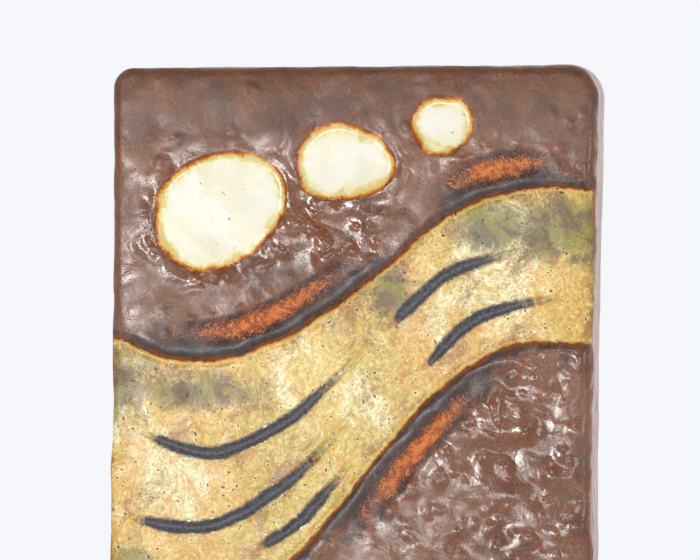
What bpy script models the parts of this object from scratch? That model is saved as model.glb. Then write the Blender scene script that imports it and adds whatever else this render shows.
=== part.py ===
"""Decorative wall plaque of glazed stoneware: one pressed slab with a low relief on its face.

Metres, +Z up. The back lies in the plane Y = 0 and the face looks along -Y.
The origin is the middle of the back, where the plaque bears on its wall.
Raised fields run across the face and stop at rolled rims. Stones are sunk in the upper field,
lines are carved in the lower level, and a slot in the back takes the head of a screw.
"""

import math

import bmesh
import bpy
import numpy as np
from mathutils import Matrix, Vector
from mathutils.geometry import delaunay_2d_cdt

# Slab
PLAQUE_WIDTH = 0.180
PLAQUE_HEIGHT = 0.280
SLAB_DEPTH = 0.020
WALL_FLARE = 0.0012
FLARE_AT_HALF_WALL = 0.6
EDGE_ROUND = 0.0032
EDGE_FALL = 0.0007
EDGE_FALL_WIDTH = 0.012
LEFT_CORNER_RADIUS = 0.0085
RIGHT_CORNER_RADIUS = 0.0125
BACK_CHAMFER = 0.0012
SIDE_WAIST = 0.0012
WAIST_AT = 0.15
TOP_TILT = 0.0016

# Raised fields, their rims and the troughs pressed beside them
FIELD_RISE = 0.0026
RIM_WIDTH = 0.0036
CREASE_DEPTH = 0.0006
CREASE_WIDTH = 0.0024
TROUGH_DEPTH = 0.0023
TROUGH_WIDTH = 0.013
TROUGH_FROM_EDGE = 0.0095

# Sunk stones and carved lines
STONE_DEPTH = 0.0011
STONE_SLOPE = 0.0026
LINE_WIDTH = 0.0042
LINE_DEPTH = 0.0017
LINE_LIP = 0.001
BLUNT_SHARE = 1 / 6
THIN_SHARE = 0.45

# Slot for a screw head
SLOT_LENGTH = 0.036
SLOT_HEIGHT = 0.010
SLOT_DEPTH = 0.011
SLOT_BELOW_TOP = 0.042

# Spacing of the mesh
OUTLINE_STEP = 0.006
CONTOUR_STEP = 0.0034
LINE_STEP = 0.0038
OPEN_STEP = 0.0085
CLEAR_OF_CONTOURS = 0.0042
SHORTEST_EDGE = 0.0007
CURVE_SAMPLES = 40
ROUND_STEPS = 3
SLOT_SIDES = 32
SHARP_FROM = 40

# Places on the face, as shares of half its width and half its height.
# A field's edge is a curve across the face, closed by corners that lie well outside it.
UPPER_FIELD = {
    "edge": [(-1.24, 0.36), (-1.00, 0.29), (-0.69, 0.22), (-0.33, 0.26), (0.04, 0.41),
             (0.40, 0.60), (0.71, 0.67), (1.02, 0.66), (1.25, 0.60)],
    "corners": [(1.45, 1.30), (-1.45, 1.30)],
    "troughs": [(0.36, 0.23), (0.76, 0.11)],
}
LOWER_FIELD = {
    "edge": [(-1.25, -0.53), (-1.00, -0.49), (-0.62, -0.44), (-0.24, -0.30), (0.07, -0.07),
             (0.33, 0.13), (0.64, 0.26), (1.00, 0.27), (1.25, 0.24)],
    "corners": [(1.45, 0.10), (1.45, -0.30)],
    "back_edge": [(1.25, -0.31), (1.00, -0.36), (0.62, -0.47), (0.22, -0.66), (-0.18, -0.77),
                  (-0.60, -0.80), (-1.00, -0.74), (-1.25, -0.70)],
    "back_corners": [(-1.45, -0.66), (-1.45, -0.55)],
    "troughs": [(0.60, 0.21)],
    "back_troughs": [(0.44, 0.18)],
}
SEED_FIELD = {
    "ring": [(0.76, -0.68), (0.73, -0.80), (0.50, -0.885), (0.17, -0.90), (0.30, -0.79),
             (0.54, -0.69)],
}
STONES = [
    {"at": (-0.54, 0.61), "size": (0.54, 0.285), "turn": 18, "lobes": (0.06, 40)},
    {"at": (-0.03, 0.735), "size": (0.36, 0.20), "turn": -12, "lobes": (0.07, 200)},
    {"at": (0.37, 0.835), "size": (0.25, 0.13), "turn": 24, "lobes": (0.08, 90)},
]
CARVED_LINES = [
    [(-0.86, 0.03), (-0.54, -0.02), (-0.20, 0.09), (0.09, 0.28)],
    [(-0.90, -0.19), (-0.56, -0.21), (-0.22, -0.08), (0.03, 0.10)],
    [(-0.37, -0.27), (-0.17, -0.18), (0.02, -0.03)],
    [(0.16, 0.31), (0.40, 0.45), (0.74, 0.52)],
    [(0.29, 0.20), (0.53, 0.34), (0.90, 0.40)],
    [(-0.74, -0.91), (-0.34, -0.91), (0.00, -0.85)],
    [(0.46, -0.61), (0.68, -0.545), (0.90, -0.505)],
]

GLAZE_COLOUR = (0.175, 0.092, 0.060, 1.0)
GLAZE_ROUGHNESS = 0.38


def on_face(share):
    """A place given as shares of the plaque's half width and half height, in metres."""
    return (share[0] * PLAQUE_WIDTH / 2, share[1] * PLAQUE_HEIGHT / 2)


def smooth_curve(points, step, closed=False):
    """Points a step apart along the Catmull-Rom curve through the given ones."""
    p = np.array(points, float)
    count = len(p)
    dense = []
    for i in range(count if closed else count - 1):
        if closed:
            a, b, c, d = (p[(i + k) % count] for k in (-1, 0, 1, 2))
        else:
            a, b, c, d = (p[min(max(i + k, 0), count - 1)] for k in (-1, 0, 1, 2))
        t = np.linspace(0, 1, CURVE_SAMPLES, endpoint=False)[:, None]
        cubic = 3 * b - a - 3 * c + d
        square = 2 * a - 5 * b + 4 * c - d
        dense.append(b + t / 2 * (c - a + t * (square + t * cubic)))
    dense = np.concatenate([*dense, p[:1] if closed else p[-1:]])
    travelled = np.concatenate([[0], np.cumsum(np.hypot(*np.diff(dense, axis=0).T))])
    stops = np.linspace(0, travelled[-1], round(travelled[-1] / step) + 1)
    evened = np.stack([np.interp(stops, travelled, dense[:, k]) for k in (0, 1)], 1)
    return evened[:-1] if closed else evened


def stone_ring(stone):
    """A sunk stone's outline: an ellipse with one broad lobe, turned on the face."""
    lobe, lobe_angle = stone["lobes"]
    half_length = stone["size"][0] * PLAQUE_WIDTH / 4
    half_height = stone["size"][1] * PLAQUE_HEIGHT / 4
    turn = math.radians(stone["turn"])
    count = round(math.pi * (half_length + half_height) / CONTOUR_STEP)
    angle = np.linspace(0, 2 * math.pi, count, endpoint=False)
    swell = 1 + lobe * (np.cos(2 * (angle - math.radians(lobe_angle))) + np.cos(3 * angle) / 2)
    along = half_length * swell * np.cos(angle)
    across = half_height * swell * np.sin(angle)
    x, z = on_face(stone["at"])
    x = x + along * math.cos(turn) - across * math.sin(turn)
    z = z + along * math.sin(turn) + across * math.cos(turn)
    return np.stack([x, z], 1)


def nearest_on(points, line, closed=True):
    """Each point's distance to a line of straight pieces, and the share of the line where that is."""
    start = line if closed else line[:-1]
    run = (np.roll(line, -1, 0) if closed else line[1:]) - start
    best = np.full(len(points), np.inf)
    share = np.zeros(len(points))
    for i in range(len(start)):
        along = np.clip((points - start[i]) @ run[i] / max(run[i] @ run[i], 1e-18), 0, 1)
        away = np.hypot(*(points - start[i] - along[:, None] * run[i]).T)
        nearer = away < best
        best[nearer] = away[nearer]
        share[nearer] = (i + along[nearer]) / len(start)
    return best, share


def depth_inside(points, ring):
    """Distance to a ring, positive inside it and negative outside."""
    x, z = points.T
    inside = np.zeros(len(points), bool)
    for (xa, za), (xb, zb) in zip(ring, np.roll(ring, -1, 0)):
        if za != zb:
            inside ^= ((za > z) != (zb > z)) & (x < (xb - xa) * (z - za) / (zb - za) + xa)
    away = nearest_on(points, ring)[0]
    return np.where(inside, away, -away)


def hump(distance, half_width):
    """1 at no distance, falling smoothly to 0 at the half width."""
    return np.cos(np.clip(distance / half_width, -1, 1) * math.pi / 2) ** 2


class Face:
    """The relief: its outlines in metres, and the height of the face over its lower level."""

    def __init__(self):
        self.border = slab_outline(WALL_FLARE + EDGE_ROUND)[0]
        self.field_rings = []
        self.rims = []
        for field in (UPPER_FIELD, LOWER_FIELD):
            ring = []
            for edge, corners, troughs in (
                ("edge", "corners", "troughs"),
                ("back_edge", "back_corners", "back_troughs"),
            ):
                if edge in field:
                    rim = smooth_curve([on_face(p) for p in field[edge]], CONTOUR_STEP)
                    self.rims.append({"line": rim, "closed": False, "troughs": field[troughs]})
                    ring += [*rim.tolist(), *(on_face(p) for p in field[corners])]
            self.field_rings.append(np.array(ring))
        seed = smooth_curve([on_face(p) for p in SEED_FIELD["ring"]], CONTOUR_STEP, closed=True)
        self.rims.append({"line": seed, "closed": True, "troughs": []})
        self.field_rings.append(seed)
        self.stones = [stone_ring(stone) for stone in STONES]
        self.lines = [smooth_curve([on_face(p) for p in line], LINE_STEP) for line in CARVED_LINES]

    def in_field(self, points):
        """How deep inside a raised field each point lies, negative on the lower level."""
        return np.max([depth_inside(points, ring) for ring in self.field_rings], 0)

    def half_line(self, share):
        """Half a carved line's width along its length: it starts blunt and runs out thin."""
        blunt = np.sqrt(np.clip(share / BLUNT_SHARE, 0, 1))
        thin = np.sqrt(np.clip((1 - share) / THIN_SHARE, 0, 1))
        return LINE_WIDTH / 2 * blunt * thin

    def height(self, points):
        """The face's height over the lower level."""
        depth = self.in_field(points)
        up_rim = np.clip(depth / RIM_WIDTH, 0, 1)
        height = FIELD_RISE * np.sqrt(1 - (1 - up_rim) ** 2)
        height -= CREASE_DEPTH * hump(depth + CREASE_WIDTH / 2, CREASE_WIDTH / 2)
        for rim in self.rims:
            away, share = nearest_on(points, rim["line"], rim["closed"])
            for middle, half in rim["troughs"]:
                pressed = hump(away - TROUGH_FROM_EDGE, TROUGH_WIDTH / 2) * hump(share - middle, half)
                height -= TROUGH_DEPTH * pressed * (depth > 0)
        for ring in self.stones:
            sunk = np.clip(depth_inside(points, ring) / STONE_SLOPE + 0.5, 0, 1)
            height -= STONE_DEPTH * sunk * sunk * (3 - 2 * sunk)
        for line in self.lines:
            away, share = nearest_on(points, line, closed=False)
            half = np.maximum(self.half_line(share), 1e-6)
            height -= LINE_DEPTH * half / (LINE_WIDTH / 2) * np.clip(1 - away / half, 0, 1)
        from_edge = np.clip(depth_inside(points, self.border) / EDGE_FALL_WIDTH, 0, 1)
        return height - EDGE_FALL * (1 - from_edge) ** 2

    def contours(self):
        """The lines that the mesh follows, at the offsets where each form's profile turns."""
        inside = lambda p: depth_inside(p, self.border)
        yield from offset_runs(self.border, True, EDGE_FALL_WIDTH / 3, inside)
        for rim in self.rims:
            for offset in (-CREASE_WIDTH, -CREASE_WIDTH / 2, 0, RIM_WIDTH / 3, RIM_WIDTH):
                yield from offset_runs(rim["line"], rim["closed"], offset, self.in_field)
            share = np.linspace(0, 1, len(rim["line"]))
            for middle, half in rim["troughs"]:
                beside = rim["line"][abs(share - middle) < half]
                for offset in (TROUGH_FROM_EDGE, TROUGH_FROM_EDGE + TROUGH_WIDTH / 2):
                    yield from offset_runs(beside, False, offset, self.in_field)
        for ring in self.stones:
            for share in (-1, -0.5, 0, 0.5, 1):
                depth_at = lambda p, ring=ring: depth_inside(p, ring)
                yield from offset_runs(ring, True, share * STONE_SLOPE, depth_at)
        for line in self.lines:
            half = self.half_line(np.linspace(0, 1, len(line)))[:, None]
            across = sideways(line, closed=False)
            wide = half[:, 0] > SHORTEST_EDGE
            yield line
            for side in (-1, 1):
                yield (line + side * across * half)[wide]
                yield (line + side * across * (half + LINE_LIP))[wide]


def sideways(line, closed):
    """Unit vectors to the right of the way that a line runs."""
    if closed:
        run = np.roll(line, -1, 0) - np.roll(line, 1, 0)
    else:
        run = np.gradient(line, axis=0)
    run /= np.hypot(*run.T)[:, None]
    return np.stack([run[:, 1], -run[:, 0]], 1)


def offset_runs(line, closed, offset, depth_at):
    """A line moved inwards by the offset, in runs that leave out where it would cross itself."""
    across = sideways(line, closed)
    probe = line + across * SHORTEST_EDGE
    inward = np.where(depth_at(probe) > depth_at(line), 1, -1)[:, None]
    moved = line + across * inward * offset
    true_there = np.abs(depth_at(moved) - offset) < SHORTEST_EDGE
    if closed:
        moved, true_there = np.vstack([moved, moved[:1]]), np.append(true_there, true_there[:1])
    run = []
    for point, keep in zip(moved, true_there):
        if keep:
            run.append(point)
        elif run:
            yield np.array(run)
            run = []
    if run:
        yield np.array(run)


def cut_to(line, border):
    """The runs of a line inside the border, with ends just past it that cut it cleanly."""
    depth = depth_inside(line, border)
    run = []
    for i, (point, here) in enumerate(zip(line, depth)):
        beside = [k for k in (i - 1, i + 1) if 0 <= k < len(line) and depth[k] > 0]
        if here > 0:
            run.append(point)
        elif beside:
            inner = line[beside[0]]
            past = (depth[beside[0]] + SHORTEST_EDGE) / (depth[beside[0]] - here)
            run.append(inner + (point - inner) * min(past, 1))
        if (here <= 0 or i == len(line) - 1) and len(run) > 1:
            yield np.array(run)
        if here <= 0:
            run = run[-1:] if beside == [i + 1] else []


def hand_formed(points):
    """Bends a true rectangle's points as the pressed slab is bent: a slim waist and a leaning top."""
    x, z = points.T
    up = z / (PLAQUE_HEIGHT / 2)
    across = x / (PLAQUE_WIDTH / 2)
    waist = SIDE_WAIST * hump(up - WAIST_AT, 1)
    lean = TOP_TILT / 2 * (across - 1) * (up + 1) / 2
    return np.stack([x - waist * across, z + lean], 1)


def slab_outline(inset):
    """The slab's outline from the front, an inset inside its back edge, and its outward directions."""
    half_width, half_height = PLAQUE_WIDTH / 2 - inset, PLAQUE_HEIGHT / 2 - inset
    points = []
    for side_x, side_z in ((1, -1), (1, 1), (-1, 1), (-1, -1)):
        whole = RIGHT_CORNER_RADIUS if side_x > 0 else LEFT_CORNER_RADIUS
        radius = whole - inset
        start = {(1, -1): -90, (1, 1): 0, (-1, 1): 90, (-1, -1): 180}[(side_x, side_z)]
        steps = max(3, round(whole * math.pi / 2 / OUTLINE_STEP) + 2)
        for angle in np.radians(np.linspace(start, start + 90, steps)):
            points.append(
                (side_x * (half_width - radius) + radius * math.cos(angle),
                 side_z * (half_height - radius) + radius * math.sin(angle))
            )
    ring = []
    for a, b in zip(points, np.roll(points, -1, 0)):
        steps = max(1, round(math.dist(a, b) / OUTLINE_STEP))
        ring += [np.array(a) + (np.array(b) - a) * k / steps for k in range(steps)]
    ring = hand_formed(np.array(ring))
    return ring, sideways(ring, closed=True)


def face_triangles(face, border):
    """Flat triangles over the face that follow its contours, as points and index triples."""
    points, edges = [*border], []
    count = len(border)
    ring = [(i, (i + 1) % count) for i in range(count)]
    for contour in face.contours():
        for line in cut_to(contour, border):
            first = len(points)
            points += [*line]
            edges += [(first + i, first + i + 1) for i in range(len(line) - 1)]
    across = np.arange(-PLAQUE_WIDTH / 2, PLAQUE_WIDTH / 2, OPEN_STEP)
    up = np.arange(-PLAQUE_HEIGHT / 2, PLAQUE_HEIGHT / 2, OPEN_STEP * math.sqrt(3) / 2)
    x, z = np.meshgrid(across, up)
    x[1::2] += OPEN_STEP / 2
    loose = np.stack([x.ravel(), z.ravel()], 1)
    loose = loose[depth_inside(loose, border) > CLEAR_OF_CONTOURS]
    taken = np.array(points)
    gaps = np.min(np.hypot(*(loose[:, None] - taken[None]).transpose(2, 0, 1)), 1)
    points += [*loose[gaps > CLEAR_OF_CONTOURS]]
    inside_only = 1
    places, _, triangles = delaunay_2d_cdt(
        [Vector(p) for p in points], ring + edges, [list(range(count))], inside_only,
        SHORTEST_EDGE / 20,
    )[:3]
    places = np.array(places)
    centres = places[np.array(triangles)].mean(1)
    within = depth_inside(centres, border) > 0
    return places, [triangle for triangle, keep in zip(triangles, within) if keep]


def plaque_mesh():
    """The slab as one closed mesh: the relief, rings down its rounded edge and wall, and the back."""
    face = Face()
    face_inset = WALL_FLARE + EDGE_ROUND
    border = slab_outline(face_inset)[0]
    points, triangles = face_triangles(face, border)
    bm = bmesh.new()
    flat = {i: bm.verts.new((points[i][0], 0, points[i][1])) for i in sorted({*sum(triangles, [])})}
    for triangle in triangles:
        bm.faces.new([flat[i] for i in triangle])
    outer = [v for v in bm.verts if v.is_boundary]
    close = bmesh.ops.find_doubles(bm, verts=bm.verts, keep_verts=outer, dist=SHORTEST_EDGE)
    bmesh.ops.weld_verts(bm, targetmap=close["targetmap"])
    places = np.array([(v.co.x, v.co.z) for v in bm.verts])
    for vert, height in zip(bm.verts, face.height(places)):
        vert.co.y = -SLAB_DEPTH - height

    loop = [e for e in bm.edges if e.is_boundary]
    rim = {v: v.co.copy() for e in loop for v in e.verts}
    outward = dict(zip(rim, outward_at(np.array([(c.x, c.z) for c in rim.values()]), face_inset)))
    round_end = SLAB_DEPTH - EDGE_ROUND
    half_wall = (round_end + BACK_CHAMFER) / 2
    levels = []
    for k in range(1, ROUND_STEPS + 1):
        angle = math.pi / 2 * k / ROUND_STEPS
        levels.append((EDGE_ROUND * math.sin(angle), round_end, math.cos(angle)))
    levels += [
        (EDGE_ROUND + WALL_FLARE * FLARE_AT_HALF_WALL, half_wall, 0),
        (face_inset, BACK_CHAMFER, 0),
        (face_inset - BACK_CHAMFER, 0, 0),
    ]
    source = {v: v for v in rim}
    for reach, depth, share_of_face in levels:
        made = bmesh.ops.extrude_edge_only(bm, edges=loop)["geom"]
        new_source = {}
        for vert in (g for g in made if isinstance(g, bmesh.types.BMVert)):
            beside = [e.other_vert(vert) for e in vert.link_edges]
            root = next(source[v] for v in beside if v in source)
            new_source[vert] = root
            x, z = outward[root]
            face_depth = -rim[root].y
            vert.co = (
                rim[root].x + reach * x,
                -(depth + (face_depth - depth) * share_of_face),
                rim[root].z + reach * z,
            )
        source = new_source
        loop = [g for g in made if isinstance(g, bmesh.types.BMEdge) and g.is_boundary]
    bmesh.ops.edgeloop_fill(bm, edges=loop)
    bmesh.ops.recalc_face_normals(bm, faces=bm.faces)
    mesh = bpy.data.meshes.new("plaque")
    bm.to_mesh(mesh)
    bm.free()
    return mesh


def outward_at(places, inset):
    """The outward direction of the slab's outline beside each place."""
    ring, normals = slab_outline(inset)
    share = nearest_on(places, ring)[1] * len(ring)
    before = share.astype(int) % len(ring)
    part = (share - share.astype(int))[:, None]
    mixed = normals[before] * (1 - part) + normals[(before + 1) % len(ring)] * part
    return mixed / np.hypot(*mixed.T)[:, None]


def glaze():
    material = bpy.data.materials.new("glazed stoneware")
    material.use_nodes = True
    shader = material.node_tree.nodes["Principled BSDF"]
    shader.inputs["Base Color"].default_value = GLAZE_COLOUR
    shader.inputs["Roughness"].default_value = GLAZE_ROUGHNESS
    shader.inputs["Metallic"].default_value = 0.0
    return material


def slot_cutter(collection):
    """A cylinder pulled apart along X: a slot with round ends, running into the back.
    Its corners are turned off its middle plane, which leaves the slot flat above and below."""
    past_back = SLOT_DEPTH / 2
    bm = bmesh.new()
    bmesh.ops.create_cone(
        bm, cap_ends=True, segments=SLOT_SIDES, radius1=SLOT_HEIGHT / 2, radius2=SLOT_HEIGHT / 2,
        depth=SLOT_DEPTH + past_back,
    )
    off_the_middle = Matrix.Rotation(math.pi / SLOT_SIDES, 3, "Z")
    bmesh.ops.rotate(bm, verts=bm.verts, matrix=off_the_middle)
    for vert in bm.verts:
        vert.co.x += math.copysign((SLOT_LENGTH - SLOT_HEIGHT) / 2, vert.co.x)
    mesh = bpy.data.meshes.new("slot cutter")
    bm.to_mesh(mesh)
    bm.free()
    cutter = bpy.data.objects.new("slot_cutter", mesh)
    cutter.rotation_euler.x = math.pi / 2
    cutter.location = (0, (past_back - SLOT_DEPTH) / 2, PLAQUE_HEIGHT / 2 - SLOT_BELOW_TOP)
    cutter.hide_render = True
    cutter.display_type = "WIRE"
    collection.objects.link(cutter)
    return cutter


def named_collection(name):
    collection = bpy.data.collections.new(name)
    bpy.context.scene.collection.children.link(collection)
    return collection


def main():
    for old in list(bpy.data.objects):
        bpy.data.objects.remove(old)
    pieces = named_collection("wall plaque")
    cutters = named_collection("cutters")
    plaque = bpy.data.objects.new("stoneware_plaque", plaque_mesh())
    plaque.data.materials.append(glaze())
    pieces.objects.link(plaque)
    plaque.data.shade_smooth()
    plaque.data.set_sharp_from_angle(angle=math.radians(SHARP_FROM))
    slot = plaque.modifiers.new("hanging slot", "BOOLEAN")
    slot.object = slot_cutter(cutters)
    slot.operation = "DIFFERENCE"


main()
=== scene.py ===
"""The looks of the wall plaque: its relief in fine mesh, its glazes, a pale studio and the camera.

Metres, +Z up, the face looking along -Y. Lengths inside the materials are in millimetres.
"""

import math
import random

import bmesh
import bpy
import numpy as np
from mathutils import Euler, Matrix, Vector, noise
from mathutils.geometry import delaunay_2d_cdt
from mathutils.kdtree import KDTree


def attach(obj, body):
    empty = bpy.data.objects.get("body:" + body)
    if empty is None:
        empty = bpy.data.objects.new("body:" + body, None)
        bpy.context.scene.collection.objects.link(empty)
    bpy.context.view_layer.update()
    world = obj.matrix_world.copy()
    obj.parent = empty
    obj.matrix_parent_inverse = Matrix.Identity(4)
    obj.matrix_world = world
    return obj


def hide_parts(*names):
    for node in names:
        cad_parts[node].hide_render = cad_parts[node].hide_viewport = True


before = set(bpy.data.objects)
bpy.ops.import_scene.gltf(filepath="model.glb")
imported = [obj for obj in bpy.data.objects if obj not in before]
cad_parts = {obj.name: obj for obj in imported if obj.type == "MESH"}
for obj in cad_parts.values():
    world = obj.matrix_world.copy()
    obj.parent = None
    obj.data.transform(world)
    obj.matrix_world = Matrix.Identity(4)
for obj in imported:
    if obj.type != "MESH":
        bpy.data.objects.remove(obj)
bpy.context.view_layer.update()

MM = 0.001

# Slab, as in the solid
PLAQUE_WIDTH = 0.180
PLAQUE_HEIGHT = 0.280
SLAB_DEPTH = 0.020
WALL_FLARE = 0.0012
EDGE_ROUND = 0.0032
EDGE_FALL = 0.0007
EDGE_FALL_WIDTH = 0.012
LEFT_CORNER_RADIUS = 0.0085
RIGHT_CORNER_RADIUS = 0.0125
BACK_CHAMFER = 0.0012
SIDE_WAIST = 0.0012
WAIST_AT = 0.15
TOP_TILT = 0.0016
FACE_INSET = WALL_FLARE + EDGE_ROUND

# Relief, as in the solid
FIELD_RISE = 0.0026
RIM_WIDTH = 0.0036
CREASE_DEPTH = 0.0006
CREASE_WIDTH = 0.0024
TROUGH_DEPTH = 0.0023
TROUGH_WIDTH = 0.013
TROUGH_FROM_EDGE = 0.0095
STONE_DEPTH = 0.0011
STONE_SLOPE = 0.0026
LINE_WIDTH = 0.0042
LINE_DEPTH = 0.0017
BLUNT_SHARE = 1 / 6
THIN_SHARE = 0.45

# Only in the fine mesh: burnt glaze round the troughs, swollen rims, burrs, lumps and uneven edges
BURN_WIDTH = 0.025
BURN_FROM_EDGE = 0.0080
RIM_SWELL = 0.00028
RIM_SWELL_AT = 0.0042
RIM_SWELL_WIDTH = 0.0036
BURR_HEIGHT = 0.00018
BURR_UNEVEN = 0.0005
BURR_AT = 0.0006
BURR_WIDTH = 0.0010
LUMP_COUNT = 900
LUMPS_ACROSS = 0.0875
LUMPS_UP = 0.1375
LUMP_RADIUS = 0.0017
LUMP_GROWTH = 0.0034
LUMP_STEEPNESS = 0.13
LUMP_STEEPER = 0.15
LUMP_CLEAR_OF_RIM = 0.0045
LUMP_CLEAR_OF_STONE = 0.0028
UNEVEN_EDGE = 0.0006
UNEVEN_EDGE_WIDTH = 0.007
OUTLINE_WANDER = 0.00075
OUTLINE_JITTER = 0.0003
WALL_SWAY = 0.0005

# Slot for a screw head
SLOT_LENGTH = 0.036
SLOT_HEIGHT = 0.010
SLOT_DEPTH = 0.011
SLOT_BELOW_TOP = 0.042
SLOT_LIP = 0.0006
SLOT_FILLET = 0.001
SLOT_TURN_STEP = 7.5

# Spacing of the fine mesh
OUTLINE_STEP = 0.0013
CONTOUR_STEP = 0.0008
OPEN_STEP = 0.0009
OPEN_JITTER = 0.18
CLEAR_OF_CONTOURS = 0.0005
SHORTEST_EDGE = 0.00022
ROUND_STEPS = 7
WALL_STEPS = 9
CHAMFER_STEPS = 3
BACK_STEP = 0.007
# Distances to outlines are measured this far, for so many pieces of a line at a time
REACH = 0.024
BLOCK = 16
# The slope at which the rounded edge takes over from the face, in degrees
EDGE_START = 14
# Noise is read on a slant, so that its square grain doesn't show on the face
SLANT = (0.52, 0.38, 0.94)
SLANTED = Euler(SLANT).to_matrix()
# Index of refraction of the glazes and the clay
GLAZE_IOR = 1.5

# Places on the face, as shares of half its width and half its height.
# A raised field has one rim or two, with troughs given as middle and half length along it.
FIELDS = [
    [
        {"rim": [(-1.24, 0.36), (-1.00, 0.29), (-0.69, 0.22), (-0.33, 0.26), (0.04, 0.41),
                 (0.40, 0.60), (0.71, 0.67), (1.02, 0.66), (1.25, 0.60)],
         "corners": [(1.45, 1.30), (-1.45, 1.30)],
         "troughs": [(0.36, 0.23), (0.76, 0.11)]},
    ],
    [
        {"rim": [(-1.25, -0.53), (-1.00, -0.49), (-0.62, -0.44), (-0.24, -0.30), (0.07, -0.07),
                 (0.33, 0.13), (0.64, 0.26), (1.00, 0.27), (1.25, 0.24)],
         "corners": [(1.45, 0.10), (1.45, -0.30)],
         "troughs": [(0.60, 0.21)]},
        {"rim": [(1.25, -0.31), (1.00, -0.36), (0.62, -0.47), (0.22, -0.66), (-0.18, -0.77),
                 (-0.60, -0.80), (-1.00, -0.74), (-1.25, -0.70)],
         "corners": [(-1.45, -0.66), (-1.45, -0.55)],
         "troughs": [(0.44, 0.18)]},
    ],
]
SEED_RING = [(0.76, -0.68), (0.73, -0.80), (0.50, -0.885), (0.17, -0.90), (0.30, -0.79), (0.54, -0.69)]
STONES = [
    {"at": (-0.54, 0.61), "size": (0.54, 0.285), "turn": 18, "lobes": (0.06, 40)},
    {"at": (-0.03, 0.735), "size": (0.36, 0.20), "turn": -12, "lobes": (0.07, 200)},
    {"at": (0.37, 0.835), "size": (0.25, 0.13), "turn": 24, "lobes": (0.08, 90)},
]
CARVED_LINES = [
    [(-0.86, 0.03), (-0.54, -0.02), (-0.20, 0.09), (0.09, 0.28)],
    [(-0.90, -0.19), (-0.56, -0.21), (-0.22, -0.08), (0.03, 0.10)],
    [(-0.37, -0.27), (-0.17, -0.18), (0.02, -0.03)],
    [(0.16, 0.31), (0.40, 0.45), (0.74, 0.52)],
    [(0.29, 0.20), (0.53, 0.34), (0.90, 0.40)],
    [(-0.74, -0.91), (-0.34, -0.91), (0.00, -0.85)],
    [(0.46, -0.61), (0.68, -0.545), (0.90, -0.505)],
]
# Smoky glaze on the ochre: place, and reach across and up in millimetres
SMOKE = [
    ((0.88, 0.57), (34, 15)), ((0.58, 0.57), (19, 12)), ((-0.93, 0.17), (17, 15)),
    ((-0.62, 0.14), (24, 8)), ((-0.88, -0.34), (13, 12)), ((0.80, -0.46), (26, 11)),
    ((-0.92, -0.86), (15, 13)), ((0.06, -0.18), (9, 10)), ((0.10, -0.79), (14, 8)),
    ((0.18, 0.40), (12, 12)),
]

# Soft panels turned towards the face: place, width, height, watts and colour
LIT_POINT = (0, 0, 0.03)
LIGHTS = {
    "key panel": ((-0.60, -1.50, 0.09), 0.26, 0.28, 10.0, (1.0, 0.99, 0.97)),
    "left softbox": ((-0.95, -1.30, 0.50), 0.40, 0.50, 2.5, (1.0, 0.99, 0.97)),
    "right panel": ((0.58, -1.52, 0.22), 0.22, 0.26, 2.6, (0.97, 0.985, 1.0)),
    "top panel": ((0.00, -1.50, 0.85), 0.40, 0.20, 2.4, (1.0, 1.0, 1.0)),
    "low panel": ((-0.12, -1.55, -0.04), 0.24, 0.14, 2.4, (1.0, 0.99, 0.98)),
    "side softbox": ((1.30, -0.55, 0.30), 0.50, 0.60, 4.0, (0.98, 0.99, 1.0)),
}
FLOOR_HALF = 3.0
FLOOR_BELOW = 0.0005
ROOM_STRENGTH = 0.20

# The camera: far off, a little to the right, aimed at the plaque's upper part
CAMERA_AT = (0.28, -2.0, 0.0)
CAMERA_AIM = (-0.0032, 0.0, 0.0610)
CAMERA_LENS = 283.5
# The tilt of the photograph, in degrees
CAMERA_ROLL = 0.7


def on_face(share):
    """A place given as shares of the plaque's half width and half height, in metres."""
    return (share[0] * PLAQUE_WIDTH / 2, share[1] * PLAQUE_HEIGHT / 2)


def face_curve(shares, closed=False):
    """Points a contour step apart along the Catmull-Rom curve through places on the face."""
    p = np.array([on_face(share) for share in shares])
    p = np.concatenate([p[-1:], p, p[:2]] if closed else [p[:1], p, p[-1:]])
    dense = []
    for a, b, c, d in zip(p, p[1:], p[2:], p[3:]):
        t = np.linspace(0, 1, 40, endpoint=False)[:, None]
        cubic = 3 * b - a - 3 * c + d
        square = 2 * a - 5 * b + 4 * c - d
        dense.append(b + t / 2 * (c - a + t * (square + t * cubic)))
    dense = np.concatenate([*dense, p[-2:-1]])
    travelled = np.concatenate([[0], np.cumsum(np.hypot(*np.diff(dense, axis=0).T))])
    stops = np.linspace(0, travelled[-1], round(travelled[-1] / CONTOUR_STEP) + 1)
    evened = np.stack([np.interp(stops, travelled, dense[:, k]) for k in (0, 1)], 1)
    return evened[:-1] if closed else evened


def stone_ring(stone):
    """A sunk stone's outline: an ellipse with one broad lobe, turned on the face."""
    lobe, lobe_angle = stone["lobes"]
    half_length = stone["size"][0] * PLAQUE_WIDTH / 4
    half_height = stone["size"][1] * PLAQUE_HEIGHT / 4
    turn = math.radians(stone["turn"])
    count = round(math.pi * (half_length + half_height) / CONTOUR_STEP)
    angle = np.linspace(0, 2 * math.pi, count, endpoint=False)
    swell = 1 + lobe * (np.cos(2 * (angle - math.radians(lobe_angle))) + np.cos(3 * angle) / 2)
    along = half_length * swell * np.cos(angle)
    across = half_height * swell * np.sin(angle)
    x, z = on_face(stone["at"])
    x = x + along * math.cos(turn) - across * math.sin(turn)
    z = z + along * math.sin(turn) + across * math.cos(turn)
    return np.stack([x, z], 1)


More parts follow.
